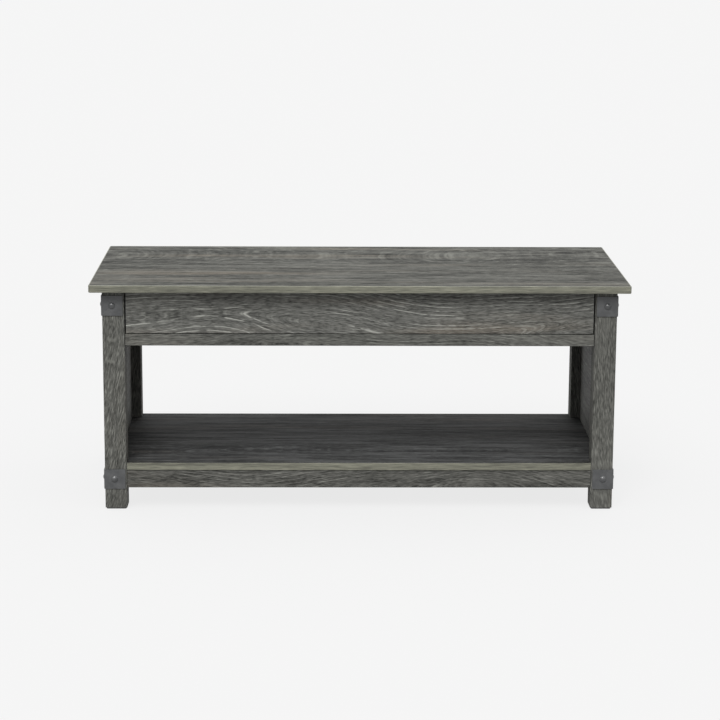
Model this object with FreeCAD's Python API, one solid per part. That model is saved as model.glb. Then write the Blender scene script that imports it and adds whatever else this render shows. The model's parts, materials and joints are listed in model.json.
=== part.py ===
import FreeCAD, Part
import math
import os

# Lift top coffee table. Millimetres, +X right, -Y towards the user, +Z up.
# The origin is on the floor, under the centre of the table.

os.makedirs("parts", exist_ok=True)

# ---------------------------------------------------------------- overall size
TABLE_LENGTH = 1100.0
TABLE_DEPTH = 500.0
TABLE_HEIGHT = 474.0

# ---------------------------------------------------------------- boards
BOARD = 15.0
TOP_CORNER_RADIUS = 5.0
TOP_BAND = 2.0
TOP_BAND_EASE = 1.4
TOP_OVERHANG = 25.0
TOP_GAP = 2.0
LEG_SIDE = 45.0
LEG_EASE = 1.5
FOOT_PAD = 3.0
FOOT_PAD_INSET = 2.0
FOOT_PAD_RADIUS = 4.0
BOARD_EASE = 0.8
BOARD_GAP = 0.5

APRON_RECESS = 2.0
APRON_END_GAP = 3.0
APRON_SEAM = 1.6
COMPARTMENT_DEPTH = 90.0
LOWER_RAIL_HEIGHT = 24.0
LOWER_RAIL_END_GAP = 1.2

SIDE_RECESS = 9.0
RAIL_BOTTOM = 45.0
SHELF_RAIL_HEIGHT = 38.0
SHELF_RAIL_RECESS = 3.0
SHELF_FRONT_RECESS = 1.0
SHELF_BACK_RECESS = 8.0
SHELF_BAND = 1.0

# ---------------------------------------------------------------- corner brackets
BRACKET_HEIGHT = 41.0
BRACKET_STEEL = 2.0
BRACKET_BEND = 3.0
BRACKET_INSET = 3.0
UPPER_BRACKET_DROP = 8.5
NAIL_HEAD_DIAMETER = 14.0
NAIL_HEAD_HEIGHT = 3.6
NAIL_SHANK_DIAMETER = 3.0
NAIL_SHANK_LENGTH = 18.0

# ---------------------------------------------------------------- joinery
CAM_DIAMETER = 15.0
CAM_FLOOR = 1.2
CAM_INSET = 24.0
CAM_SLOT_WIDTH = 1.6
CAM_SLOT_DEPTH = 2.0
CAM_BORE = 7.2
BOLT_BORE = 8.0
BOLT_NECK = 5.0
BOLT_HEAD = 6.6
BOLT_THREAD = 6.0
BOLT_THREAD_LENGTH = 11.0
DOWEL_DIAMETER = 8.0
DOWEL_HALF_LENGTH = 14.0
DOWEL_SKIN = 3.0
APRON_ANGLE_LEG = 24.0
APRON_ANGLE_HEIGHT = 56.0
APRON_ANGLE_STEEL = 2.0
APRON_ANGLE_BEND = 1.5
FIT_GAP = 0.05
END_GAP = 1.0
CUTTER_PAST = 1.0

# ---------------------------------------------------------------- lift mechanism
ARM_LENGTH = 185.0
ARM_WIDTH = 20.0
ARM_STEEL = 3.0
PIVOT_SPREAD = 50.0
PIVOT_STEP = 20.0
OPEN_ANGLE = 110.0
BASE_PIVOT_HEIGHT = 16.0
TOP_PIVOT_DROP = 22.0
LEG_CLEARANCE = 3.5
BRACKET_PLATE = 2.5
BRACKET_END = 14.0
OUTER_SPACER = 2.5
INNER_SPACER = 1.5
PIVOT_DIAMETER = 8.0
PIVOT_HEAD_DIAMETER = 15.0
PIVOT_HEAD = 2.5
RIVET_TAIL_DIAMETER = 12.0
RIVET_TAIL = 1.5
SPACER_DIAMETER = 16.0
RUNNING_GAP = 0.05
OPEN_PIVOT_GAP = 0.3
TUBE_DIAMETER = 19.0
TUBE_WALL = 1.2
TUBE_END_GAP = 1.0
STUD_DIAMETER = 10.0
STUD_PLUG = 20.0
FLANGE_WIDTH = 24.0
TOP_BRACKET_LENGTH = 230.0
TOP_BRACKET_FRONT_HEIGHT = 16.0
TOP_BRACKET_CORNER = 5.0
BASE_PLATE_REAR = 40.0
BASE_PLATE_MARGIN = 14.0
BASE_PLATE_CORNER = 8.0
BASE_PLATE_LIFT = 3.0
SCREW_EDGE = 9.0

SPRING_PIN_RADIUS = 30.0
SPRING_ANCHOR_FORWARD = 66.0
SPRING_ANCHOR_RISE = 2.0
SPRING_STUD_DIAMETER = 6.0
SPRING_STUD_HEAD_DIAMETER = 9.0
SPRING_STUD_HEAD = 1.5
SPRING_STUD_REACH = 14.0
SPRING_COIL_DIAMETER = 11.0
SPRING_WIRE = 1.6
SPRING_HEAD_GAP = 1.0
SPRING_HOOK_LENGTH = 10.0

SCREW_DIAMETER = 3.5
SCREW_HEAD_DIAMETER = 7.0
SCREW_HEAD = 1.8
SCREW_GRIP = 11.0
SCREW_HOLE_GAP = 0.3

BUMPER_DIAMETER = 14.0
BUMPER_GAP = 0.2

# ---------------------------------------------------------------- worked out places
TOP_UNDER = TABLE_HEIGHT - BOARD
CAM_DEPTH = BOARD / 2 + BOLT_HEAD / 2 + CAM_FLOOR
LEG_TOP = TOP_UNDER - TOP_GAP
LEG_OUT_X = TABLE_LENGTH / 2 - TOP_OVERHANG
LEG_OUT_Y = TABLE_DEPTH / 2 - TOP_OVERHANG
LEG_IN_X = LEG_OUT_X - LEG_SIDE
LEG_IN_Y = LEG_OUT_Y - LEG_SIDE

SIDE_OUT_X = LEG_OUT_X - SIDE_RECESS
SIDE_IN_X = SIDE_OUT_X - BOARD
SIDE_MID_X = SIDE_OUT_X - BOARD / 2

FLOOR_TOP = TOP_UNDER - COMPARTMENT_DEPTH
LOWER_RAIL_BOTTOM = FLOOR_TOP - LOWER_RAIL_HEIGHT
APRON_OUT_Y = LEG_OUT_Y - APRON_RECESS
APRON_IN_Y = APRON_OUT_Y - BOARD
APRON_BOTTOM = FLOOR_TOP + APRON_SEAM

SHELF_UNDER = RAIL_BOTTOM + SHELF_RAIL_HEIGHT
SHELF_TOP = SHELF_UNDER + BOARD
SHELF_FRONT_Y = -(LEG_OUT_Y - SHELF_FRONT_RECESS)
SHELF_BACK_Y = LEG_OUT_Y - SHELF_BACK_RECESS
SHELF_RAIL_FRONT_Y = -(LEG_OUT_Y - SHELF_RAIL_RECESS)
SHELF_RAIL_BACK_Y = SHELF_BACK_Y

UPPER_BRACKET_BOTTOM = LEG_TOP - UPPER_BRACKET_DROP - BRACKET_HEIGHT
LOWER_BRACKET_BOTTOM = RAIL_BOTTOM + SHELF_RAIL_HEIGHT / 2 - BRACKET_HEIGHT / 2

# Planes of the lift mechanism, from the side panel inwards.
PLATE_IN_X = SIDE_IN_X - BRACKET_PLATE
ARM_OUT_X = PLATE_IN_X - OUTER_SPACER
ARM_IN_X = ARM_OUT_X - ARM_STEEL
WEB_OUT_X = ARM_IN_X - INNER_SPACER
WEB_IN_X = WEB_OUT_X - BRACKET_PLATE

# Pivots, as (y, z). The closed angle is what the compartment's depth leaves.
REAR_BASE_Z = FLOOR_TOP + BASE_PIVOT_HEIGHT
FRONT_TOP_Z = TOP_UNDER - TOP_PIVOT_DROP
CLOSED_ANGLE = math.degrees(math.asin((FRONT_TOP_Z - REAR_BASE_Z - PIVOT_STEP) / ARM_LENGTH))
ARM_REACH_Y = ARM_LENGTH * math.cos(math.radians(CLOSED_ANGLE))
ARM_REACH_Z = ARM_LENGTH * math.sin(math.radians(CLOSED_ANGLE))
REAR_TOP_Y = LEG_IN_Y - LEG_CLEARANCE - BRACKET_END
REAR_BASE = (REAR_TOP_Y - ARM_REACH_Y, REAR_BASE_Z)
REAR_TOP = (REAR_TOP_Y, REAR_BASE_Z + ARM_REACH_Z)
FRONT_BASE = (REAR_BASE[0] - PIVOT_SPREAD, REAR_BASE[1] + PIVOT_STEP)
FRONT_TOP = (REAR_TOP[0] - PIVOT_SPREAD, REAR_TOP[1] + PIVOT_STEP)
SPRING_PIN = (REAR_BASE[0] + SPRING_PIN_RADIUS * math.cos(math.radians(CLOSED_ANGLE)),
              REAR_BASE[1] + SPRING_PIN_RADIUS * math.sin(math.radians(CLOSED_ANGLE)))
SPRING_ANCHOR = (REAR_BASE[0] - SPRING_ANCHOR_FORWARD, REAR_BASE[1] + SPRING_ANCHOR_RISE)
SPRING_MID_X = WEB_OUT_X - SPRING_HEAD_GAP - SPRING_WIRE - SPRING_COIL_DIAMETER / 2

SIDES = (-1, 1)
CORNERS = (("front_left", -1, -1), ("front_right", 1, -1), ("back_left", -1, 1), ("back_right", 1, 1))
SIDE_NAMES = (("left", -1), ("right", 1))

nodes = {}


# ---------------------------------------------------------------- helpers
def vec(x, y, z):
    return FreeCAD.Vector(x, y, z)


def box(x0, x1, y0, y1, z0, z1):
    low = vec(min(x0, x1), min(y0, y1), min(z0, z1))
    return Part.makeBox(abs(x1 - x0), abs(y1 - y0), abs(z1 - z0), low)


def rod(start, direction, length, diameter):
    return Part.makeCylinder(diameter / 2, length, start, direction)


def ease(shape, radius, wanted):
    """Round the straight edges that wanted(edge's two end points) picks."""
    picked = []
    for edge in shape.Edges:
        points = [v.Point for v in edge.Vertexes]
        if len(points) == 2 and wanted(points[0], points[1]):
            picked.append(edge)
    return shape.makeFillet(radius, picked)


def along_x(a, b):
    return abs(a.y - b.y) < 1e-6 and abs(a.z - b.z) < 1e-6


def along_y(a, b):
    return abs(a.x - b.x) < 1e-6 and abs(a.z - b.z) < 1e-6


def along_z(a, b):
    return abs(a.x - b.x) < 1e-6 and abs(a.y - b.y) < 1e-6


def fuse(shapes):
    joined = shapes[0].multiFuse(shapes[1:])
    return joined.removeSplitter()


def group(shapes):
    return Part.makeCompound(shapes)


def mirrored(shape):
    """The same piece on the other side of the table."""
    return shape.mirror(vec(0, 0, 0), vec(1, 0, 0))


def two_sided(name_pattern, shape):
    nodes[name_pattern % "right"] = shape
    nodes[name_pattern % "left"] = mirrored(shape)


def both_sides(shapes):
    return group(shapes + [mirrored(shape) for shape in shapes])


def cut(name, tools):
    nodes[name] = nodes[name].cut(tools)


def wood_screw(head_at, inward, plate):
    """Pan head screw. head_at is on the steel's face and inward points into the wood."""
    head = rod(head_at - inward * SCREW_HEAD, inward, SCREW_HEAD, SCREW_HEAD_DIAMETER)
    rim = [e for e in head.Edges if e.Closed and abs((e.CenterOfMass - head_at).dot(inward) + SCREW_HEAD) < 1e-6]
    head = head.makeFillet(SCREW_HEAD / 2, rim)
    shank = rod(head_at - inward * SCREW_HEAD / 4, inward, SCREW_HEAD / 4 + plate + SCREW_GRIP, SCREW_DIAMETER)
    return head.fuse(shank).removeSplitter()


# ---------------------------------------------------------------- top
def make_top():
    """Laminated panel with a thick edge band glued all round it."""
    outer = box(-TABLE_LENGTH / 2, TABLE_LENGTH / 2, -TABLE_DEPTH / 2, TABLE_DEPTH / 2, TOP_UNDER, TABLE_HEIGHT)
    outer = ease(outer, TOP_CORNER_RADIUS, along_z)
    core = box(-TABLE_LENGTH / 2 + TOP_BAND, TABLE_LENGTH / 2 - TOP_BAND, -TABLE_DEPTH / 2 + TOP_BAND,
               TABLE_DEPTH / 2 - TOP_BAND, TOP_UNDER, TABLE_HEIGHT)
    core = ease(core, TOP_CORNER_RADIUS - TOP_BAND, along_z)
    rim = [edge for edge in outer.Edges if abs(edge.BoundBox.ZLength) < 1e-6]
    rounded = outer.makeFillet(TOP_BAND_EASE, rim)
    nodes["top_panel"] = core
    nodes["top_edge_band"] = rounded.cut(core)


# ---------------------------------------------------------------- legs
def make_legs():
    for name, sx, sy in CORNERS:
        leg = box(sx * LEG_IN_X, sx * LEG_OUT_X, sy * LEG_IN_Y, sy * LEG_OUT_Y, FOOT_PAD, LEG_TOP)
        nodes["leg_" + name] = ease(leg, LEG_EASE, along_z)


def make_foot_pads():
    pads = []
    for _, sx, sy in CORNERS:
        pad = box(sx * (LEG_IN_X + FOOT_PAD_INSET), sx * (LEG_OUT_X - FOOT_PAD_INSET),
                  sy * (LEG_IN_Y + FOOT_PAD_INSET), sy * (LEG_OUT_Y - FOOT_PAD_INSET), 0, FOOT_PAD)
        pads.append(ease(pad, FOOT_PAD_RADIUS, along_z))
    nodes["foot_pads"] = group(pads)


def make_bumpers():
    """Rubber stops on the leg tops, which the closed top comes down on."""
    stops = []
    for _, sx, sy in CORNERS:
        centre = vec(sx * (LEG_IN_X + LEG_SIDE / 2), sy * (LEG_IN_Y + LEG_SIDE / 2), LEG_TOP)
        stops.append(rod(centre, vec(0, 0, 1), TOP_GAP - BUMPER_GAP, BUMPER_DIAMETER))
    nodes["top_bumpers"] = group(stops)


# ---------------------------------------------------------------- boards
def cross_board(name, y_out, y_in, z0, z1, end_gap):
    """A board on edge that runs along X from leg to leg."""
    reach = LEG_IN_X - end_gap
    board = box(-reach, reach, y_out, y_in, z0, z1)
    nodes[name] = ease(board, BOARD_EASE, along_x)


def notched_board(name, y0, y1, z0, z1):
    """A flat board between the side panels, cut away round the four legs."""
    reach = SIDE_IN_X - BOARD_GAP
    board = box(-reach, reach, y0, y1, z0, z1)
    tools = []
    for _, sx, sy in CORNERS:
        tools.append(box(sx * (LEG_IN_X - BOARD_GAP), sx * (reach + BOARD), sy * (LEG_IN_Y - BOARD_GAP),
                         sy * (LEG_OUT_Y + BOARD), z0 - CUTTER_PAST, z1 + CUTTER_PAST))
    nodes[name] = board.cut(tools)


def make_boards():
    cross_board("front_apron", -APRON_OUT_Y, -APRON_IN_Y, APRON_BOTTOM, LEG_TOP, APRON_END_GAP)
    cross_board("front_lower_rail", -APRON_OUT_Y, -APRON_IN_Y, LOWER_RAIL_BOTTOM, FLOOR_TOP, LOWER_RAIL_END_GAP)
    cross_board("back_apron", APRON_OUT_Y, APRON_IN_Y, LOWER_RAIL_BOTTOM, LEG_TOP, BOARD_GAP)
    cross_board("shelf_front_rail", SHELF_RAIL_FRONT_Y, SHELF_RAIL_FRONT_Y + BOARD, RAIL_BOTTOM, SHELF_UNDER,
                BOARD_GAP)
    cross_board("shelf_back_rail", SHELF_RAIL_BACK_Y, SHELF_RAIL_BACK_Y - BOARD, RAIL_BOTTOM, SHELF_UNDER,
                BOARD_GAP)
    notched_board("compartment_floor", -APRON_IN_Y, APRON_IN_Y, FLOOR_TOP - BOARD, FLOOR_TOP)
    notched_board("shelf", SHELF_FRONT_Y + SHELF_BAND, SHELF_BACK_Y - SHELF_BAND, SHELF_UNDER, SHELF_TOP)
    band_reach = LEG_IN_X - BOARD_GAP
    front_band = box(-band_reach, band_reach, SHELF_FRONT_Y, SHELF_FRONT_Y + SHELF_BAND, SHELF_UNDER, SHELF_TOP)
    back_band = box(-band_reach, band_reach, SHELF_BACK_Y, SHELF_BACK_Y - SHELF_BAND, SHELF_UNDER, SHELF_TOP)
    nodes["shelf_edge_bands"] = group([front_band, back_band])
    for name, sx in SIDE_NAMES:
        panel = box(sx * SIDE_IN_X, sx * SIDE_OUT_X, -(LEG_IN_Y - BOARD_GAP), LEG_IN_Y - BOARD_GAP,
                    RAIL_BOTTOM, LEG_TOP)
        nodes["side_panel_" + name] = ease(panel, BOARD_EASE, along_y)


# ---------------------------------------------------------------- corner brackets
def corner_bracket(sx, sy, z0):
    """Steel strap bent round the outer corner of a leg, with both ends short of the leg's inner edges."""
    out_x = LEG_OUT_X + BRACKET_STEEL
    out_y = LEG_OUT_Y + BRACKET_STEEL
    strap = box(sx * (LEG_IN_X + BRACKET_INSET), sx * out_x, sy * (LEG_IN_Y + BRACKET_INSET), sy * out_y,
                z0, z0 + BRACKET_HEIGHT)

    def at_bend(a, b):
        return along_z(a, b) and abs(abs(a.x) - out_x) < 1e-6 and abs(abs(a.y) - out_y) < 1e-6

    strap = ease(strap, BRACKET_BEND, at_bend)
    inside = box(sx * LEG_IN_X, sx * LEG_OUT_X, sy * LEG_IN_Y, sy * LEG_OUT_Y,
                 z0 - CUTTER_PAST, z0 + BRACKET_HEIGHT + CUTTER_PAST)

    def at_leg_corner(a, b):
        return along_z(a, b) and abs(abs(a.x) - LEG_OUT_X) < 1e-6 and abs(abs(a.y) - LEG_OUT_Y) < 1e-6

    return strap.cut(ease(inside, LEG_EASE, at_leg_corner))


def nail(head_centre, inward):
    """Domed nail. head_centre is on the steel, and inward points into the leg."""
    radius = NAIL_HEAD_DIAMETER / 2
    sphere_radius = (radius ** 2 + NAIL_HEAD_HEIGHT ** 2) / (2 * NAIL_HEAD_HEIGHT)
    sphere_centre = head_centre + inward * (sphere_radius - NAIL_HEAD_HEIGHT)
    dome = Part.makeSphere(sphere_radius, sphere_centre)
    slab = rod(head_centre - inward * NAIL_HEAD_HEIGHT * 2, inward, NAIL_HEAD_HEIGHT * 2,
               NAIL_HEAD_DIAMETER + CUTTER_PAST)
    shank = rod(head_centre - inward * NAIL_HEAD_HEIGHT / 2, inward, NAIL_SHANK_LENGTH + NAIL_HEAD_HEIGHT / 2,
                NAIL_SHANK_DIAMETER)
    return dome.common(slab).fuse(shank).removeSplitter()


def make_corner_brackets():
    past_leg_middle = (BRACKET_STEEL + BRACKET_INSET) / 2
    face_mid_x = LEG_IN_X + LEG_SIDE / 2 + past_leg_middle
    face_mid_y = LEG_IN_Y + LEG_SIDE / 2 + past_leg_middle
    for name, sx, sy in CORNERS:
        nails = []
        holes = []
        for level, z0 in (("upper", UPPER_BRACKET_BOTTOM), ("lower", LOWER_BRACKET_BOTTOM)):
            strap = corner_bracket(sx, sy, z0)
            z_mid = z0 + BRACKET_HEIGHT / 2
            face_x = vec(sx * face_mid_x, sy * (LEG_OUT_Y + BRACKET_STEEL), z_mid)
            face_y = vec(sx * (LEG_OUT_X + BRACKET_STEEL), sy * face_mid_y, z_mid)
            for centre, inward in ((face_x, vec(0, -sy, 0)), (face_y, vec(-sx, 0, 0))):
                nails.append(nail(centre, inward))
                holes.append(rod(centre, inward, NAIL_SHANK_LENGTH + END_GAP, NAIL_SHANK_DIAMETER + 2 * FIT_GAP))
            nodes["bracket_%s_%s" % (level, name)] = strap.cut(holes)
        cut("leg_" + name, holes)
        nodes["bracket_nails_" + name] = group(nails)


# ---------------------------------------------------------------- joinery
cams = []
cam_bolts = []
dowels = []


def cam_joint(board, post, edge, toward, face, gap):
    """Cam lock in a board and its bolt in the post that the board's edge meets.

    edge is on the board's end, at mid thickness, toward points to the post and face points
    to the side of the board that the cam is turned from.
    """
    centre = edge - toward * CAM_INSET
    mouth = centre + face * (BOARD / 2)
    pocket = rod(mouth, face * -1, CAM_DEPTH, CAM_DIAMETER)
    bore = rod(centre, toward, CAM_INSET + CUTTER_PAST, BOLT_BORE)
    cut(board, [pocket, bore])
    thread_hole = rod(edge, toward, gap + BOLT_THREAD_LENGTH + END_GAP, BOLT_THREAD + 2 * FIT_GAP)
    cut(post, [thread_hole])
    cam = rod(mouth - face * FIT_GAP, face * -1, CAM_DEPTH - 2 * FIT_GAP, CAM_DIAMETER - 2 * FIT_GAP)
    channel = rod(centre - toward * (BOLT_HEAD / 2), toward, CAM_DIAMETER, CAM_BORE)
    side = face.cross(toward)
    slots = []
    for a, b in ((toward, side), (side, toward)):
        start = mouth - a * (CAM_DIAMETER / 3) - b * (CAM_SLOT_WIDTH / 2) + face * CUTTER_PAST
        edge_a = Part.makePolygon([start, start + a * (CAM_DIAMETER * 2 / 3),
                                   start + a * (CAM_DIAMETER * 2 / 3) + b * CAM_SLOT_WIDTH,
                                   start + b * CAM_SLOT_WIDTH, start])
        slots.append(Part.Face(edge_a).extrude(face * -(CAM_SLOT_DEPTH + CUTTER_PAST)))
    cams.append(cam.cut([channel] + slots))
    head = rod(centre - toward * (BOLT_HEAD / 2 - FIT_GAP), toward, BOLT_HEAD / 2, BOLT_HEAD)
    neck = rod(centre, toward, CAM_INSET + gap, BOLT_NECK)
    thread = rod(edge + toward * gap, toward, BOLT_THREAD_LENGTH, BOLT_THREAD)
    cam_bolts.append(fuse([head, neck, thread]))


def dowel_joint(board, post, edge, toward, gap):
    """Wooden pin across the joint, half in the board and half in the post."""
    hole = DOWEL_DIAMETER + 2 * FIT_GAP
    reach = DOWEL_HALF_LENGTH + END_GAP
    cut(board, [rod(edge - toward * reach, toward, reach + CUTTER_PAST, hole)])
    cut(post, [rod(edge, toward, gap + reach, hole)])
    start = edge - toward * (DOWEL_HALF_LENGTH - gap / 2)
    dowels.append(rod(start, toward, 2 * DOWEL_HALF_LENGTH, DOWEL_DIAMETER))


def join_cross_board(name, y_out, z_cams, z_dowels, gap):
    """Fasten both ends of a board that runs along X to the legs behind its face."""
    sy = 1 if y_out > 0 else -1
    y_mid = y_out - sy * BOARD / 2
    row = "front" if sy < 0 else "back"
    for side_name, sx in SIDE_NAMES:
        post = "leg_%s_%s" % (row, side_name)
        toward = vec(sx, 0, 0)
        for z in z_cams:
            cam_joint(name, post, vec(sx * (LEG_IN_X - gap), y_mid, z), toward, vec(0, -sy, 0), gap)
        for z in z_dowels:
            dowel_joint(name, post, vec(sx * (LEG_IN_X - gap), y_mid, z), toward, gap)


def join_side_panels():
    z_under_shelf = RAIL_BOTTOM + SHELF_RAIL_HEIGHT / 2
    z_in_compartment = FLOOR_TOP + COMPARTMENT_DEPTH / 3
    z_dowels = (SHELF_TOP + 2 * CAM_DIAMETER, (SHELF_TOP + LOWER_RAIL_BOTTOM) / 2, LEG_TOP - CAM_DIAMETER)
    for side_name, sx in SIDE_NAMES:
        for row, sy in (("front", -1), ("back", 1)):
            post = "leg_%s_%s" % (row, side_name)
            board = "side_panel_" + side_name
            for z in (z_under_shelf, z_in_compartment):
                cam_joint(board, post, vec(sx * SIDE_MID_X, sy * (LEG_IN_Y - BOARD_GAP), z), vec(0, sy, 0),
                          vec(-sx, 0, 0), BOARD_GAP)
            for z in z_dowels:
                dowel_joint(board, post, vec(sx * SIDE_MID_X, sy * (LEG_IN_Y - BOARD_GAP), z), vec(0, sy, 0),
                            BOARD_GAP)


def join_flat_board(name, z_mid):
    """Fasten a flat board to the two side panels, with its cams turned from below."""
    side_cut = BOARD - DOWEL_SKIN
    for side_name, sx in SIDE_NAMES:
        post = "side_panel_" + side_name
        edge_x = sx * (SIDE_IN_X - BOARD_GAP)
        for sy in SIDES:
            edge = vec(edge_x, sy * LEG_IN_Y * 2 / 3, z_mid)
            cam_joint(name, post, edge, vec(sx, 0, 0), vec(0, 0, -1), BOARD_GAP)
        short_dowel(name, post, vec(edge_x, 0, z_mid), vec(sx, 0, 0), side_cut, BOARD_GAP)


def short_dowel(board, post, edge, toward, depth, gap):
    """Dowel that stops short of the far face of a thin panel."""
    hole = DOWEL_DIAMETER + 2 * FIT_GAP
    grip = depth - END_GAP
    reach = DOWEL_HALF_LENGTH + END_GAP
    cut(board, [rod(edge - toward * reach, toward, reach + CUTTER_PAST, hole)])
    cut(post, [rod(edge, toward, gap + depth, hole)])
    dowels.append(rod(edge - toward * DOWEL_HALF_LENGTH, toward, DOWEL_HALF_LENGTH + gap + grip, DOWEL_DIAMETER))


def join_shelf_rails():
    """Vertical dowels between the shelf and the two rails under it."""
    depth = BOARD - DOWEL_SKIN
    for rail, y_mid in (("shelf_front_rail", SHELF_RAIL_FRONT_Y + BOARD / 2),
                        ("shelf_back_rail", SHELF_RAIL_BACK_Y - BOARD / 2)):
        for x in (-LEG_IN_X / 2, 0, LEG_IN_X / 2):
            at = vec(x, y_mid, SHELF_UNDER)
            hole = DOWEL_DIAMETER + 2 * FIT_GAP
            cut("shelf", [rod(at, vec(0, 0, 1), depth, hole)])
            cut(rail, [rod(at - vec(0, 0, DOWEL_HALF_LENGTH + END_GAP), vec(0, 0, 1),
                           DOWEL_HALF_LENGTH + END_GAP, hole)])
            dowels.append(rod(at - vec(0, 0, DOWEL_HALF_LENGTH), vec(0, 0, 1), DOWEL_HALF_LENGTH + depth - END_GAP,
                              DOWEL_DIAMETER))


def join_front_lower_rail():
    """Dowels between the compartment floor's front edge and the rail in front of it."""
    for share in (-0.8, -0.3, 0.3, 0.8):
        edge = vec(share * LEG_IN_X, -APRON_IN_Y, FLOOR_TOP - BOARD / 2)
        short_dowel("compartment_floor", "front_lower_rail", edge, vec(0, -1, 0), BOARD - DOWEL_SKIN, 0)


def make_apron_angles():
    """Steel angles behind the front apron, screwed to it and to the legs' inner faces."""
    z_mid = (APRON_BOTTOM + LEG_TOP) / 2
    z0 = z_mid - APRON_ANGLE_HEIGHT / 2
    z1 = z_mid + APRON_ANGLE_HEIGHT / 2
    back_y = -APRON_IN_Y
    angle = box(LEG_IN_X - APRON_ANGLE_LEG, LEG_IN_X, back_y, back_y + APRON_ANGLE_LEG, z0, z1)
    inside_x = LEG_IN_X - APRON_ANGLE_STEEL
    inside_y = back_y + APRON_ANGLE_STEEL
    angle = angle.cut(box(inside_x - APRON_ANGLE_LEG, inside_x, inside_y, inside_y + APRON_ANGLE_LEG,
                          z0 - CUTTER_PAST, z1 + CUTTER_PAST))

    def at_inner_bend(a, b):
        return along_z(a, b) and abs(a.x - inside_x) < 1e-6 and abs(a.y - inside_y) < 1e-6

    angle = ease(angle, APRON_ANGLE_BEND, at_inner_bend)
    out_of_bend = APRON_ANGLE_STEEL + (APRON_ANGLE_LEG - APRON_ANGLE_STEEL) * 3 / 5
    holes = []
    screws = []
    apron_pilots = []
    leg_pilots = []
    for z in (z0 + SCREW_EDGE, z1 - SCREW_EDGE):
        on_apron = vec(LEG_IN_X - out_of_bend, inside_y, z)
        on_leg = vec(inside_x, back_y + out_of_bend, z)
        for place, inward, pilots in ((on_apron, vec(0, -1, 0), apron_pilots), (on_leg, vec(1, 0, 0), leg_pilots)):
            screws.append(wood_screw(place, inward, APRON_ANGLE_STEEL))
            holes.append(rod(place - inward * CUTTER_PAST, inward, APRON_ANGLE_STEEL + 2 * CUTTER_PAST,
                             SCREW_DIAMETER + 2 * SCREW_HOLE_GAP))
            pilots.append(rod(place + inward * APRON_ANGLE_STEEL, inward, SCREW_GRIP + END_GAP,
                              SCREW_DIAMETER + 2 * FIT_GAP))
    nodes["apron_angles"] = both_sides([angle.cut(holes)])
    nodes["apron_angle_screws"] = both_sides(screws)
    cut("front_apron", apron_pilots + [mirrored(pilot) for pilot in apron_pilots])
    cut("leg_front_right", leg_pilots)
    cut("leg_front_left", [mirrored(pilot) for pilot in leg_pilots])


def make_joinery():
    back_height = LEG_TOP - LOWER_RAIL_BOTTOM
    join_cross_board("back_apron", APRON_OUT_Y, (LOWER_RAIL_BOTTOM + back_height / 2,),
                     (LOWER_RAIL_BOTTOM + back_height / 5, LOWER_RAIL_BOTTOM + back_height * 4 / 5), BOARD_GAP)
    for rail, y_out in (("shelf_front_rail", SHELF_RAIL_FRONT_Y), ("shelf_back_rail", SHELF_RAIL_BACK_Y)):
        join_cross_board(rail, y_out, (RAIL_BOTTOM + SHELF_RAIL_HEIGHT * 0.3,),
                         (RAIL_BOTTOM + SHELF_RAIL_HEIGHT * 0.75,), BOARD_GAP)
    join_side_panels()
    join_flat_board("compartment_floor", FLOOR_TOP - BOARD / 2)
    join_flat_board("shelf", SHELF_TOP - BOARD / 2)
    join_front_lower_rail()
    join_shelf_rails()
    make_apron_angles()
    nodes["cam_locks"] = group(cams)
    nodes["cam_bolts"] = group(cam_bolts)
    nodes["wood_dowels"] = group(dowels)


# ---------------------------------------------------------------- lift mechanism
def profile(corners, x, thickness):
    """Flat plate from (y, z) corners, starting at x and growing outwards along +X."""
    points = [vec(x, y, z) for y, z in corners]
    return Part.Face(Part.makePolygon(points + points[:1])).extrude(vec(thickness, 0, 0))


def arm(base, top):
    """Steel arm with round ends on its two pivots."""
    radius = ARM_WIDTH / 2
    length = math.hypot(top[0] - base[0], top[1] - base[1])
    along = vec(0, (top[0] - base[0]) / length, (top[1] - base[1]) / length)
    across = vec(1, 0, 0).cross(along)
    a = vec(ARM_IN_X, *base)
    b = vec(ARM_IN_X, *top)
    lower = Part.LineSegment(a - across * radius, b - across * radius)
    far = Part.Arc(b - across * radius, b + along * radius, b + across * radius)
    upper = Part.LineSegment(b + across * radius, a + across * radius)
    near = Part.Arc(a + across * radius, a - along * radius, a - across * radius)
    wire = Part.Wire([curve.toShape() for curve in (lower, far, upper, near)])
    return Part.Face(wire).extrude(vec(ARM_STEEL, 0, 0))


def x_hole(at, diameter):
    """Cutter along X through every plane of the mechanism on the right side."""
    return x_rod(at, WEB_IN_X - PIVOT_HEAD - CUTTER_PAST, SIDE_IN_X + CUTTER_PAST, diameter)


def x_rod(at, x0, x1, diameter):
    return rod(vec(min(x0, x1), *at), vec(1, 0, 0), abs(x1 - x0), diameter)


def ring(at, x0, x1, outer, inner):
    return x_rod(at, x0, x1, outer).cut(x_rod(at, x0 - CUTTER_PAST, x1 + CUTTER_PAST, inner))


def make_arms():
    pin = PIVOT_DIAMETER
    rear = arm(REAR_BASE, REAR_TOP)
    rear = rear.cut([x_hole(REAR_BASE, pin + 2 * RUNNING_GAP), x_hole(REAR_TOP, STUD_DIAMETER + 2 * FIT_GAP),
                     x_hole(SPRING_PIN, SPRING_STUD_DIAMETER + 2 * FIT_GAP)])
    front = arm(FRONT_BASE, FRONT_TOP)
    front = front.cut([x_hole(FRONT_BASE, pin + 2 * RUNNING_GAP), x_hole(FRONT_TOP, pin + 2 * OPEN_PIVOT_GAP)])
    two_sided("rear_arm_%s", rear)
    two_sided("front_arm_%s", front)


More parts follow.
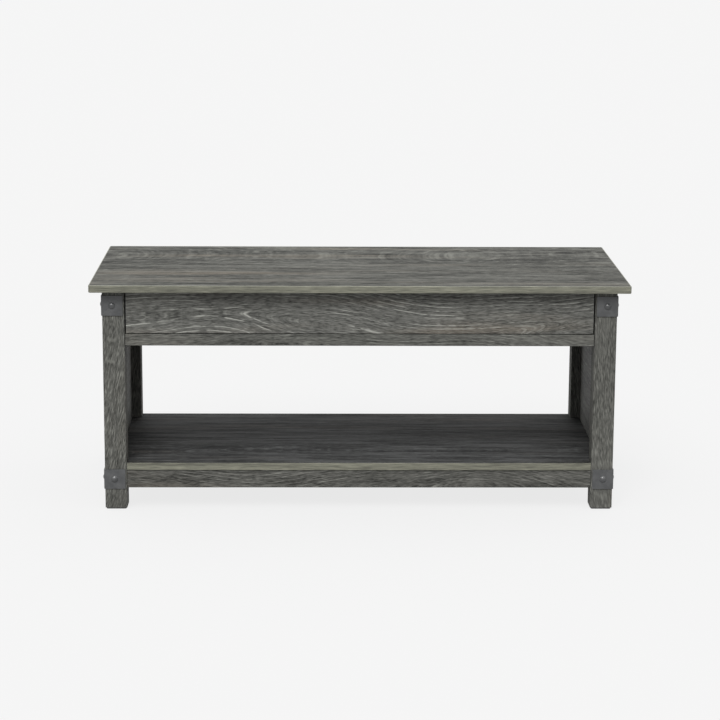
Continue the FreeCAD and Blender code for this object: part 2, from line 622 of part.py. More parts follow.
def make_base_brackets():
    """Steel plates on the side panels that carry the lower pivots and the springs."""
    y0 = SPRING_ANCHOR[0] - SPRING_STUD_DIAMETER - BRACKET_PLATE
    y1 = REAR_BASE[0] + BASE_PLATE_REAR
    z0 = FLOOR_TOP + BASE_PLATE_LIFT
    z1 = FRONT_BASE[1] + BASE_PLATE_MARGIN
    plate = ease(box(PLATE_IN_X, SIDE_IN_X, y0, y1, z0, z1), BASE_PLATE_CORNER, along_x)
    holes = [x_hole(REAR_BASE, PIVOT_DIAMETER + 2 * FIT_GAP), x_hole(FRONT_BASE, PIVOT_DIAMETER + 2 * FIT_GAP),
             x_hole(SPRING_ANCHOR, SPRING_STUD_DIAMETER + 2 * FIT_GAP)]
    screw_places = ((y0 + SCREW_EDGE, z1 - SCREW_EDGE), (y1 - SCREW_EDGE, z1 - SCREW_EDGE),
                    (y1 - SCREW_EDGE, z0 + SCREW_EDGE), ((SPRING_ANCHOR[0] + REAR_BASE[0]) / 2, z0 + SCREW_EDGE))
    screws = []
    pilots = []
    for place in screw_places:
        holes.append(x_hole(place, SCREW_DIAMETER + 2 * SCREW_HOLE_GAP))
        screws.append(wood_screw(vec(PLATE_IN_X, *place), vec(1, 0, 0), BRACKET_PLATE))
        pilots.append(rod(vec(SIDE_IN_X, *place), vec(1, 0, 0), SCREW_GRIP + END_GAP,
                          SCREW_DIAMETER + 2 * FIT_GAP))
    two_sided("base_bracket_%s", plate.cut(holes))
    cut("side_panel_right", pilots)
    cut("side_panel_left", [mirrored(pilot) for pilot in pilots])
    nodes["base_bracket_screws"] = both_sides(screws)


def make_top_brackets():
    """Angle plates under the top: a web that carries the upper pivots and a flange screwed to the top."""
    y_back = REAR_TOP[0] + BRACKET_END
    y_front = y_back - TOP_BRACKET_LENGTH
    z_front = TOP_UNDER - TOP_BRACKET_FRONT_HEIGHT
    web = profile(((y_back, REAR_TOP[1] - BRACKET_END), (REAR_TOP[0] - BRACKET_END, REAR_TOP[1] - BRACKET_END),
                   (FRONT_TOP[0] - BRACKET_END, FRONT_TOP[1] - BRACKET_END),
                   (FRONT_TOP[0] - BRACKET_END - FLANGE_WIDTH, z_front),
                   (y_front, z_front), (y_front, TOP_UNDER), (y_back, TOP_UNDER)), WEB_IN_X, BRACKET_PLATE)

    def below_top(a, b):
        return along_x(a, b) and a.z < TOP_UNDER - 1

    web = ease(web, TOP_BRACKET_CORNER, below_top)
    flange = box(WEB_IN_X - FLANGE_WIDTH, WEB_OUT_X, y_front, y_back, TOP_UNDER - BRACKET_PLATE, TOP_UNDER)
    plate = fuse([web, flange])

    def at_bend(a, b):
        return along_y(a, b) and abs(a.x - WEB_OUT_X) < 1e-6 and abs(a.z - TOP_UNDER) < 1e-6

    plate = ease(plate, BRACKET_PLATE, at_bend)
    holes = [x_hole(REAR_TOP, STUD_DIAMETER + 2 * RUNNING_GAP), x_hole(FRONT_TOP, PIVOT_DIAMETER + 2 * FIT_GAP)]
    screws = []
    pilots = []
    screw_x = WEB_IN_X - FLANGE_WIDTH / 2
    first = y_back - SCREW_EDGE
    last = y_front + SCREW_EDGE
    for step in range(4):
        y = first + (last - first) * step / 3
        up = vec(0, 0, 1)
        holes.append(rod(vec(screw_x, y, TOP_UNDER - 2 * BRACKET_PLATE), up, 3 * BRACKET_PLATE,
                         SCREW_DIAMETER + 2 * SCREW_HOLE_GAP))
        screws.append(wood_screw(vec(screw_x, y, TOP_UNDER - BRACKET_PLATE), up, BRACKET_PLATE))
        pilots.append(rod(vec(screw_x, y, TOP_UNDER), up, SCREW_GRIP + END_GAP, SCREW_DIAMETER + 2 * FIT_GAP))
    two_sided("top_bracket_%s", plate.cut(holes))
    cut("top_panel", pilots + [mirrored(pilot) for pilot in pilots])
    nodes["top_bracket_screws"] = both_sides(screws)


def make_pivots():
    base_pins = []
    outer_spacers = []
    for at in (REAR_BASE, FRONT_BASE):
        shank = x_rod(at, ARM_IN_X - PIVOT_HEAD / 2, SIDE_IN_X, PIVOT_DIAMETER)
        head = x_rod(at, ARM_IN_X - PIVOT_HEAD, ARM_IN_X - RUNNING_GAP, PIVOT_HEAD_DIAMETER)
        base_pins.append(fuse([head, shank]))
        outer_spacers.append(ring(at, ARM_OUT_X + RUNNING_GAP, PLATE_IN_X, SPACER_DIAMETER,
                                  PIVOT_DIAMETER + 2 * FIT_GAP))
    nodes["base_pivot_pins"] = both_sides(base_pins)
    nodes["base_pivot_spacers"] = both_sides(outer_spacers)

    shank = x_rod(FRONT_TOP, WEB_IN_X - PIVOT_HEAD / 2, ARM_OUT_X + RIVET_TAIL, PIVOT_DIAMETER)
    head = x_rod(FRONT_TOP, WEB_IN_X - PIVOT_HEAD, WEB_IN_X, PIVOT_HEAD_DIAMETER)
    tail_start = ARM_OUT_X + OPEN_PIVOT_GAP
    tail = x_rod(FRONT_TOP, tail_start, tail_start + RIVET_TAIL, RIVET_TAIL_DIAMETER)
    nodes["top_pivot_pins"] = both_sides([fuse([shank, head, tail])])
    inner_spacers = [ring(FRONT_TOP, ARM_IN_X + RUNNING_GAP - INNER_SPACER + RUNNING_GAP, ARM_IN_X - RUNNING_GAP,
                          SPACER_DIAMETER, PIVOT_DIAMETER + 2 * FIT_GAP),
                     ring(REAR_TOP, WEB_OUT_X, ARM_IN_X - RUNNING_GAP, SPACER_DIAMETER,
                          STUD_DIAMETER + 2 * RUNNING_GAP)]
    nodes["top_pivot_spacers"] = both_sides(inner_spacers)


def make_cross_tube():
    """Tube that ties the two rear arms together, with a turned stud in each end as the rear upper pivot."""
    end_x = WEB_IN_X - TUBE_END_GAP
    inner = TUBE_DIAMETER - 2 * TUBE_WALL
    nodes["cross_tube"] = ring(REAR_TOP, -end_x, end_x, TUBE_DIAMETER, inner)
    plug = x_rod(REAR_TOP, end_x - STUD_PLUG, end_x, inner - 2 * FIT_GAP)
    journal = x_rod(REAR_TOP, end_x, ARM_OUT_X, STUD_DIAMETER)
    peened = x_rod(REAR_TOP, ARM_OUT_X, ARM_OUT_X + RIVET_TAIL, RIVET_TAIL_DIAMETER)
    nodes["cross_tube_studs"] = both_sides([fuse([plug, journal, peened])])


def make_springs():
    """Extension springs that carry part of the top's weight, and the studs that they hook on."""
    inner_x = SPRING_MID_X - SPRING_STUD_REACH / 2
    anchor_stud = fuse([x_rod(SPRING_ANCHOR, inner_x, SIDE_IN_X, SPRING_STUD_DIAMETER),
                        x_rod(SPRING_ANCHOR, inner_x - SPRING_STUD_HEAD, inner_x, SPRING_STUD_HEAD_DIAMETER)])
    arm_stud = fuse([x_rod(SPRING_PIN, inner_x, ARM_OUT_X, SPRING_STUD_DIAMETER),
                     x_rod(SPRING_PIN, inner_x - SPRING_STUD_HEAD, inner_x, SPRING_STUD_HEAD_DIAMETER)])
    nodes["spring_anchor_studs"] = both_sides([anchor_stud])
    nodes["spring_arm_studs"] = both_sides([arm_stud])

    run_y = SPRING_PIN[0] - SPRING_ANCHOR[0]
    run_z = SPRING_PIN[1] - SPRING_ANCHOR[1]
    length = math.hypot(run_y, run_z)
    along = vec(0, run_y / length, run_z / length)
    start = vec(SPRING_MID_X, *SPRING_ANCHOR)
    inner = SPRING_STUD_DIAMETER + 2 * OPEN_PIVOT_GAP
    outer = inner + 2 * SPRING_WIRE
    half_wire = SPRING_WIRE / 2
    coil = rod(start + along * SPRING_HOOK_LENGTH, along, length - 2 * SPRING_HOOK_LENGTH, SPRING_COIL_DIAMETER)
    pieces = [coil]
    for centre, way in ((SPRING_ANCHOR, 1), (SPRING_PIN, -1)):
        hook = ring(centre, SPRING_MID_X - half_wire, SPRING_MID_X + half_wire, outer, inner)
        neck_start = vec(SPRING_MID_X, *centre) + along * way * (inner / 2 + half_wire)
        neck = rod(neck_start, along * way, SPRING_HOOK_LENGTH, SPRING_WIRE)
        pieces.extend([hook, neck])
    two_sided("lift_spring_%s", fuse(pieces))


# ---------------------------------------------------------------- build
make_top()
make_legs()
make_foot_pads()
make_bumpers()
make_boards()
make_corner_brackets()
make_joinery()
make_arms()
make_base_brackets()
make_top_brackets()
make_pivots()
make_cross_tube()
make_springs()

for node_name, node_shape in nodes.items():
    node_shape.exportStep("parts/" + node_name + ".step")

print("nodes", len(nodes))
print("rear base pivot", REAR_BASE, "rear top pivot", REAR_TOP)
print("front base pivot", FRONT_BASE, "front top pivot", FRONT_TOP)
print("closed angle", CLOSED_ANGLE, "travel", OPEN_ANGLE - CLOSED_ANGLE)
print("spring anchor", SPRING_ANCHOR, "spring pin", SPRING_PIN)
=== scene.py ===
import json
import math

import bpy
from mathutils import Euler, Matrix, Vector


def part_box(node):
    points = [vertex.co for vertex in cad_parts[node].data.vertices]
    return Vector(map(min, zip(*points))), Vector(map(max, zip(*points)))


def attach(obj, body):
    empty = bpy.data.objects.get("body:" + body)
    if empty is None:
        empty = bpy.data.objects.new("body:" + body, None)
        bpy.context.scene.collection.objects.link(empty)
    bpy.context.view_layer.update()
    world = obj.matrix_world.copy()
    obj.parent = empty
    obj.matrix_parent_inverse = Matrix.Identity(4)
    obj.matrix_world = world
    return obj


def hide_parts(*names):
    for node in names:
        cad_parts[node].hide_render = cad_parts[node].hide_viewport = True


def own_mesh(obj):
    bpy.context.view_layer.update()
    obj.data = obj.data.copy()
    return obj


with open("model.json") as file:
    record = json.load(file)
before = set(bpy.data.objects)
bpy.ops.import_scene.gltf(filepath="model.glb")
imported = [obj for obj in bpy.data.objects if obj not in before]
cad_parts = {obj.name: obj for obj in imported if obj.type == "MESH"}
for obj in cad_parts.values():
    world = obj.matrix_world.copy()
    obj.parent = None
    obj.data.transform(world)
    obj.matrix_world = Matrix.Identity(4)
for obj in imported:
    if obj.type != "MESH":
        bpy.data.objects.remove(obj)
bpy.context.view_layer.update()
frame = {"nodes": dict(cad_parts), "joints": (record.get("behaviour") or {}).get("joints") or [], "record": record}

# Lift top coffee table in dark grey limed oak laminate. Metres, +Z up, -Y towards the user.

NODES = frame["nodes"]
TAU = 2 * math.pi


# ---------------------------------------------------------------- node tree helpers
def add(tree, kind, inputs=None, **settings):
    """One shader node. A tuple or number sets an input's value and a socket is linked to it."""
    node = tree.nodes.new(kind)
    for key, value in settings.items():
        setattr(node, key, value)
    for key, value in (inputs or {}).items():
        if isinstance(value, bpy.types.NodeSocket):
            tree.links.new(value, node.inputs[key])
        else:
            node.inputs[key].default_value = value
    return node


def calc(tree, operation, *values):
    return add(tree, "ShaderNodeMath", dict(enumerate(values)), operation=operation).outputs[0]


def vector(tree, x, y, z):
    return add(tree, "ShaderNodeCombineXYZ", {0: x, 1: y, 2: z}).outputs[0]


def noise(tree, coordinate, detail, roughness=0.5):
    """Noise from 0 to 1 about 0.5, with one cell per unit of the coordinate."""
    inputs = {"Vector": coordinate, "Scale": 1.0, "Detail": detail, "Roughness": roughness}
    return add(tree, "ShaderNodeTexNoise", inputs).outputs["Fac"]


def stretched(tree, grain, along, across):
    """Grain coordinate with its own scale along the grain and across it."""
    scale = (along, across, across)
    return add(tree, "ShaderNodeVectorMath", {0: grain, 1: scale}, operation="MULTIPLY").outputs[0]


def field(tree, coordinate, kind):
    """Stretched noise. kind is its cells per metre along and across the grain, its detail and roughness."""
    along, across, detail, roughness = kind
    return noise(tree, stretched(tree, coordinate, along, across), detail, roughness)


def fade(tree, value, low, high, to_low=0.0, to_high=1.0):
    """Smooth step of value between low and high."""
    inputs = {"Value": value, "From Min": low, "From Max": high, "To Min": to_low, "To Max": to_high}
    return add(tree, "ShaderNodeMapRange", inputs, interpolation_type="SMOOTHSTEP").outputs["Result"]


def mixed(tree, share, a, b):
    """Colour between a and b. The node keeps the share between 0 and 1."""
    node = add(tree, "ShaderNodeMix", {0: share}, data_type="RGBA")
    for key, value in ((6, a), (7, b)):
        if isinstance(value, bpy.types.NodeSocket):
            tree.links.new(value, node.inputs[key])
        else:
            node.inputs[key].default_value = (*value, 1.0)
    return node.outputs[2]


def curve(tree, value, stops):
    """Grey curve through (position, height) stops."""
    node = add(tree, "ShaderNodeValToRGB", {0: value})
    ramp = node.color_ramp
    ramp.interpolation = "B_SPLINE"
    while len(ramp.elements) < len(stops):
        ramp.elements.new(0.5)
    for element, (position, height) in zip(ramp.elements, stops):
        element.position = position
        element.color = (height, height, height, 1.0)
    return node.outputs[0]


# ---------------------------------------------------------------- limed oak
RING_SPACING = 0.0068
LOG_DEPTH = 0.007
OAK_DARK = (0.016, 0.016, 0.0148)
OAK_LIGHT = (0.112, 0.111, 0.103)
OAK_WARM = (0.114, 0.101, 0.085)
LIME = (0.36, 0.36, 0.33)
# Each warp of the ring lines: cells per metre along and across the grain, and its reach in metres.
RING_WARPS = ((1.9, 3.0, 0.13), (6.5, 26.0, 0.0085), (28.0, 170.0, 0.0011))
# Each swing of the log's taper: wavelength, reach and phase.
TAPERS = ((0.97, 0.011, 0.4), (0.36, 0.0034, 1.9))
# Brightness of the pale early wood and darkness of the late wood across one ring: position and height.
EARLY_WOOD = ((0.0, 0.0), (0.09, 1.0), (0.17, 0.6), (0.27, 0.0), (0.9, 0.0), (1.0, 0.0))
LATE_WOOD = ((0.0, 0.4), (0.12, 0.0), (0.55, 0.1), (0.86, 1.0), (1.0, 0.4))
# Fields of the oak, as field() takes them.
PATCHES = (4.5, 15.0, 2.0, 0.6)
DASHES = (40.0, 320.0, 2.0, 0.7)
FIBRE = (66.0, 880.0, 1.5, 0.75)
FOLLOW = (40.0, 520.0, 1.5, 0.7)
THREAD = (120.0, 1500.0, 2.0, 0.6)
STREAK = (7.0, 70.0, 2.0, 0.6)
BAND = (1.8, 17.0, 3.0, 0.55)
PORES = (48.0, 560.0, 1.0, 0.5)
WARMTH = (1.7, 17.0, 2.0, 0.5)
FLECKS = (42.0, 640.0, 1.0, 0.6)
# Values between which a field goes from none to full.
CHANCE_STEP = (0.05, 0.75)
PATCH_STEP = (0.40, 0.58)
DASH_STEP = (0.38, 0.58)
PORE_STEP = (0.58, 0.72)
WARMTH_STEP = (0.50, 0.80)
FLECK_STEP = (0.55, 0.68)
# Reach of each field in the tone, which runs from OAK_DARK at 0 to the light oak at 1.
MIDDLE_TONE = 0.50
FIBRE_REACH = 1.7
FOLLOW_REACH = 0.9
THREAD_REACH = 0.7
STREAK_REACH = 2.2
BAND_REACH = 1.5
LATE_WOOD_REACH = -0.22
# Share of lime in the ring lines and in the pores.
LINE_LIME = 0.64
PORE_LIME = 0.14
# Share of each in the height of the surface.
FIBRE_RELIEF = 0.6
PORE_RELIEF = 0.3
LINE_RELIEF = 0.4
OAK_ROUGHNESS = 0.56
OAK_ROUGHNESS_RISE = 0.20
LAMINATE_GLOSS = 0.03
PANEL_GLOSS = 0.22


def centred(tree, value, amount):
    """A noise that runs about zero and has the given reach."""
    return calc(tree, "MULTIPLY", calc(tree, "SUBTRACT", value, 0.5), amount)


def ring_distance(tree, grain):
    """Distance in metres from the heart of a tapering log, which the rings and fibres follow."""
    parts = add(tree, "ShaderNodeSeparateXYZ", {0: grain}).outputs
    across = parts[1]
    for along_scale, across_scale, reach in RING_WARPS:
        wander = noise(tree, stretched(tree, grain, along_scale, across_scale), 0.0)
        across = calc(tree, "ADD", across, centred(tree, wander, reach))
    into = calc(tree, "ADD", parts[2], LOG_DEPTH)
    distance = calc(tree, "SQRT", calc(tree, "ADD", calc(tree, "MULTIPLY", across, across),
                                       calc(tree, "MULTIPLY", into, into)))
    for wavelength, reach, phase in TAPERS:
        turn = calc(tree, "MULTIPLY_ADD", parts[0], TAU / wavelength, phase)
        distance = calc(tree, "MULTIPLY_ADD", calc(tree, "SINE", turn), reach, distance)
    return parts, distance


def oak_group():
    """Plain sawn oak: broken pale ring lines, long bands of tone, short fibres, and lime in the pores.

    The grain coordinate is in metres, with X along the grain, Y across the board and Z into it.
    """
    tree = bpy.data.node_groups.new("limed_oak", "ShaderNodeTree")
    for name, kind in (("Grain", "Vector"), ("Figure", "Float"), ("Bands", "Float"), ("Flecks", "Float"),
                       ("Tint", "Vector")):
        tree.interface.new_socket(name, in_out="INPUT", socket_type="NodeSocket" + kind)
    for name, kind in (("Color", "Color"), ("Height", "Float"), ("Roughness", "Float")):
        tree.interface.new_socket(name, in_out="OUTPUT", socket_type="NodeSocket" + kind)
    given = add(tree, "NodeGroupInput").outputs
    grain = given["Grain"]

    parts, distance = ring_distance(tree, grain)
    flow = vector(tree, parts[0], distance, parts[2])
    rings = calc(tree, "DIVIDE", distance, RING_SPACING)
    phase = calc(tree, "FRACT", rings)
    early = curve(tree, phase, EARLY_WOOD)
    late = curve(tree, phase, LATE_WOOD)
    chance = add(tree, "ShaderNodeTexWhiteNoise", {"W": calc(tree, "FLOOR", rings)}, noise_dimensions="1D")
    strength = fade(tree, chance.outputs["Value"], *CHANCE_STEP)
    patches = fade(tree, field(tree, grain, PATCHES), *PATCH_STEP)
    dashes = fade(tree, field(tree, flow, DASHES), *DASH_STEP)
    broken = calc(tree, "MULTIPLY", patches, dashes)
    lines = calc(tree, "MULTIPLY", calc(tree, "MULTIPLY", early, strength), broken)
    lines = calc(tree, "MULTIPLY", lines, given["Figure"])

    fibre = field(tree, grain, FIBRE)
    follow = field(tree, flow, FOLLOW)
    thread = field(tree, flow, THREAD)
    streak = field(tree, grain, STREAK)
    band = field(tree, grain, BAND)
    pores = fade(tree, field(tree, flow, PORES), *PORE_STEP)

    tone = calc(tree, "ADD", MIDDLE_TONE, centred(tree, fibre, FIBRE_REACH))
    tone = calc(tree, "ADD", tone, centred(tree, follow, FOLLOW_REACH))
    tone = calc(tree, "ADD", tone, centred(tree, thread, THREAD_REACH))
    slow = calc(tree, "ADD", centred(tree, streak, STREAK_REACH), centred(tree, band, BAND_REACH))
    tone = calc(tree, "MULTIPLY_ADD", slow, given["Bands"], tone)
    shade = calc(tree, "MULTIPLY", calc(tree, "MULTIPLY", late, strength), LATE_WOOD_REACH)
    tone = calc(tree, "MULTIPLY_ADD", shade, given["Figure"], tone)
    warmth = fade(tree, field(tree, grain, WARMTH), *WARMTH_STEP)
    colour = mixed(tree, tone, OAK_DARK, mixed(tree, warmth, OAK_LIGHT, OAK_WARM))
    fleck = fade(tree, field(tree, grain, FLECKS), *FLECK_STEP)
    fleck = calc(tree, "MULTIPLY", fleck, given["Flecks"])
    lime = calc(tree, "MULTIPLY", lines, LINE_LIME)
    lime = calc(tree, "ADD", lime, calc(tree, "MULTIPLY", pores, PORE_LIME))
    colour = mixed(tree, calc(tree, "ADD", lime, fleck), colour, LIME)
    inputs = {0: colour, 1: given["Tint"]}
    colour = add(tree, "ShaderNodeVectorMath", inputs, operation="MULTIPLY").outputs[0]

    height = calc(tree, "MULTIPLY", fibre, FIBRE_RELIEF)
    height = calc(tree, "SUBTRACT", height, calc(tree, "MULTIPLY", pores, PORE_RELIEF))
    height = calc(tree, "SUBTRACT", height, calc(tree, "MULTIPLY", lines, LINE_RELIEF))
    rough = calc(tree, "MULTIPLY_ADD", fibre, OAK_ROUGHNESS_RISE, OAK_ROUGHNESS)
    result = add(tree, "NodeGroupOutput")
    for key, value in (("Color", colour), ("Height", height), ("Roughness", rough)):
        tree.links.new(value, result.inputs[key])
    return tree


def grain_coordinate(tree, order, offset, lean):
    """Object position turned so that X runs along the board's grain."""
    place = add(tree, "ShaderNodeTexCoord").outputs["Object"]
    parts = add(tree, "ShaderNodeSeparateXYZ", {0: place}).outputs
    turned = vector(tree, *(parts["XYZ".index(axis)] for axis in order))
    inputs = {"Vector": turned, "Location": offset, "Rotation": (0.0, 0.0, lean)}
    return add(tree, "ShaderNodeMapping", inputs, vector_type="POINT").outputs[0]


def new_material(name):
    material = bpy.data.materials.new(name)
    material.use_nodes = True
    tree = material.node_tree
    tree.nodes.clear()
    shader = add(tree, "ShaderNodeBsdfPrincipled")
    output = add(tree, "ShaderNodeOutputMaterial")
    tree.links.new(shader.outputs[0], output.inputs[0])
    return material, tree, shader


def bump(tree, shader, height, distance, strength):
    """Relief of the given depth in metres."""
    inputs = {"Height": height, "Distance": distance, "Strength": strength}
    normal = add(tree, "ShaderNodeBump", inputs).outputs[0]
    tree.links.new(normal, shader.inputs["Normal"])


def vary_roughness(tree, shader, value, middle, spread):
    """Roughness that follows a value from 0 to 1 over the given spread about its middle."""
    rough = calc(tree, "MULTIPLY_ADD", value, spread, middle - spread / 2)
    tree.links.new(rough, shader.inputs["Roughness"])


def oak(name, order, offset, lean, figure, bands, flecks, tint, gloss=LAMINATE_GLOSS):
    """Laminate for one board. order names the object axes along, across and into the grain."""
    material, tree, shader = new_material("oak_" + name)
    group = add(tree, "ShaderNodeGroup", node_tree=OAK)
    tree.links.new(grain_coordinate(tree, order, offset, lean), group.inputs["Grain"])
    group.inputs["Figure"].default_value = figure
    group.inputs["Bands"].default_value = bands
    group.inputs["Flecks"].default_value = flecks
    group.inputs["Tint"].default_value = tint
    tree.links.new(group.outputs["Color"], shader.inputs["Base Color"])
    tree.links.new(group.outputs["Roughness"], shader.inputs["Roughness"])
    shader.inputs["Specular IOR Level"].default_value = gloss
    bump(tree, shader, group.outputs["Height"], distance=0.0003, strength=0.5)
    return material


EDGE_BAND_DARK = (0.038, 0.038, 0.029)
EDGE_BAND_LIGHT = (0.144, 0.143, 0.110)
EDGE_FINE = (30.0, 700.0, 3.0, 0.65)
EDGE_BROAD = (3.0, 90.0, 3.0, 0.6)
EDGE_FINE_SHARE = 0.6
EDGE_STEP = (0.32, 0.70)
# A face whose normal has more than this along X is on an end of the board.
END_FACING = 0.7


def round_edge_coordinate(tree):
    """Object position turned so that X runs along the edge on all four sides of a board."""
    texture = add(tree, "ShaderNodeTexCoord").outputs
    x, y, z = add(tree, "ShaderNodeSeparateXYZ", {0: texture["Object"]}).outputs
    facing = add(tree, "ShaderNodeSeparateXYZ", {0: texture["Normal"]}).outputs[0]
    on_end = calc(tree, "GREATER_THAN", calc(tree, "ABSOLUTE", facing), END_FACING)
    along = calc(tree, "MULTIPLY_ADD", calc(tree, "SUBTRACT", y, x), on_end, x)
    into = calc(tree, "MULTIPLY_ADD", calc(tree, "SUBTRACT", x, y), on_end, y)
    return vector(tree, along, z, into)


def edge_band():
    """Olive grey plastic band with a fine printed grain along its length."""
    material, tree, shader = new_material("edge_band")
    grain = round_edge_coordinate(tree)
    fine = field(tree, grain, EDGE_FINE)
    broad = calc(tree, "MULTIPLY", field(tree, grain, EDGE_BROAD), 1 - EDGE_FINE_SHARE)
    tone = calc(tree, "MULTIPLY_ADD", fine, EDGE_FINE_SHARE, broad)
    colour = mixed(tree, fade(tree, tone, *EDGE_STEP), EDGE_BAND_DARK, EDGE_BAND_LIGHT)
    tree.links.new(colour, shader.inputs["Base Color"])
    shader.inputs["Roughness"].default_value = 0.5
    shader.inputs["Specular IOR Level"].default_value = 0.35
    bump(tree, shader, fine, distance=0.0002, strength=0.35)
    return material


# ---------------------------------------------------------------- metal, plastic and rubber
TONE_STEP = (0.3, 0.7)


def object_noise(tree, scale, detail, roughness):
    """Even noise with the given cells per metre."""
    place = add(tree, "ShaderNodeTexCoord").outputs["Object"]
    return noise(tree, stretched(tree, place, scale, scale), detail, roughness)


def painted(name, low, high, roughness, peel_scale, peel_depth):
    """Powder coat: a fine orange peel and slow changes of tone."""
    material, tree, shader = new_material(name)
    cloud = object_noise(tree, 60.0, 4.0, 0.6)
    peel = object_noise(tree, peel_scale, 2.0, 0.6)
    colour = mixed(tree, fade(tree, cloud, *TONE_STEP), low, high)
    tree.links.new(colour, shader.inputs["Base Color"])
    vary_roughness(tree, shader, cloud, roughness, spread=0.16)
    bump(tree, shader, peel, distance=peel_depth, strength=0.5)
    return material


def plated(name, low, high, roughness):
    """Zinc plate: bright metal with faint blotches and fine turning marks."""
    material, tree, shader = new_material(name)
    blotch = object_noise(tree, 240.0, 3.0, 0.6)
    marks = object_noise(tree, 2200.0, 2.0, 0.5)
    tree.links.new(mixed(tree, fade(tree, blotch, *TONE_STEP), low, high), shader.inputs["Base Color"])
    vary_roughness(tree, shader, blotch, roughness, spread=0.20)
    shader.inputs["Metallic"].default_value = 1.0
    bump(tree, shader, marks, distance=0.00005, strength=0.4)
    return material


def moulded(name, low, high, roughness, scale):
    """Moulded plastic or rubber with a fine even grain."""
    material, tree, shader = new_material(name)
    grain = object_noise(tree, scale, 2.0, 0.6)
    tree.links.new(mixed(tree, grain, low, high), shader.inputs["Base Color"])
    vary_roughness(tree, shader, grain, roughness, spread=0.12)
    bump(tree, shader, grain, distance=0.0001, strength=0.5)
    return material


BEECH_DARK = (0.42, 0.27, 0.15)
BEECH_PALE = (0.66, 0.48, 0.30)
BEECH_FLECKS = (180.0, 900.0, 3.0, 0.6)


def beech(name):
    """Bare dowel wood with short pale flecks."""
    material, tree, shader = new_material(name)
    place = add(tree, "ShaderNodeTexCoord").outputs["Object"]
    fleck = field(tree, place, BEECH_FLECKS)
    tree.links.new(mixed(tree, fleck, BEECH_DARK, BEECH_PALE), shader.inputs["Base Color"])
    shader.inputs["Roughness"].default_value = 0.7
    bump(tree, shader, fleck, distance=0.0001, strength=0.4)
    return material


OAK = oak_group()

PLAIN = (0.78, 0.78, 0.77)
# Painted shade: the top's copy of the laminate is darker, against the light it catches from overhead.
TOP_PAINTED_SHADE = (0.62, 0.625, 0.61)
# Painted light: lighter copy of the laminate for the lower rail and the side panels, against the shade under the
# top.
PALE_PAINTED_LIGHT = (0.93, 0.94, 0.925)
# Painted light: lighter copy of the laminate for the aprons, against the shade under the top's overhang.
APRON_PAINTED_LIGHT = (1.10, 1.11, 1.105)
LEG_TINT = (0.80, 0.805, 0.79)
# Darker, bluer copy of the laminate for the shelf: painted shade from the top above it and a painted bluish sheen.
SHELF_PAINTED_SHADE = (0.42, 0.43, 0.46)

# Each board: axis order, place in the log, lean of the grain, strength of the ring lines, of the bands and
# of the pale flecks, tint, and its gloss where that isn't the laminate's.
BOARDS = {
    "top_panel": ("XYZ", (0.30, -0.11, 0.02), 0.0, 0.26, 0.85, 0.0, TOP_PAINTED_SHADE),
    "front_apron": ("XZY", (0.62, -0.392, 0.225), 0.0, 0.90, 0.15, 0.0, APRON_PAINTED_LIGHT),
    "front_lower_rail": ("XZY", (2.45, -0.330, 0.225), 0.0, 0.55, 0.4, 0.0, PALE_PAINTED_LIGHT),
    "back_apron": ("XZY", (4.10, -0.380, -0.22), 0.0, 1.0, 0.25, 0.0, APRON_PAINTED_LIGHT),
    "shelf_front_rail": ("XZY", (5.30, -0.020, 0.225), 0.0, 0.60, 0.4, 0.0, PLAIN),
    "shelf_back_rail": ("XZY", (6.20, -0.100, -0.21), 0.0, 0.60, 0.4, 0.0, PLAIN),
    "compartment_floor": ("XYZ", (7.40, 0.10, -0.33), 0.0, 0.35, 0.8, 0.0, PLAIN),
    # The shelf's tint is painted shade and a painted bluish sheen.
    "shelf": ("XYZ", (8.30, 0.13, -0.06), 0.0, 0.25, 1.0, 0.0, SHELF_PAINTED_SHADE),
    "side_panel_left": ("YZX", (9.70, -0.17, 0.50), 0.0, 0.7, 0.6, 0.0, PALE_PAINTED_LIGHT, PANEL_GLOSS),
    "side_panel_right": ("YZX", (10.90, -0.29, -0.50), 0.0, 0.7, 0.6, 0.0, PALE_PAINTED_LIGHT, PANEL_GLOSS),
    "leg_front_left": ("ZXY", (12.10, 0.560, 0.20), -0.17, 0.20, 0.2, 0.26, LEG_TINT),
    "leg_front_right": ("ZXY", (13.45, -0.560, 0.20), 0.07, 0.20, 0.2, 0.20, LEG_TINT),
    "leg_back_left": ("ZXY", (14.90, 0.575, -0.20), -0.12, 0.20, 0.2, 0.26, LEG_TINT),
    "leg_back_right": ("ZXY", (16.20, -0.575, -0.20), 0.15, 0.20, 0.2, 0.26, LEG_TINT),
}


def dress(node, material):
    """Give a CAD node its material on every slot."""
    mesh = NODES[node].data
    if not mesh.materials:
        mesh.materials.append(material)
    for index in range(len(mesh.materials)):
        mesh.materials[index] = material


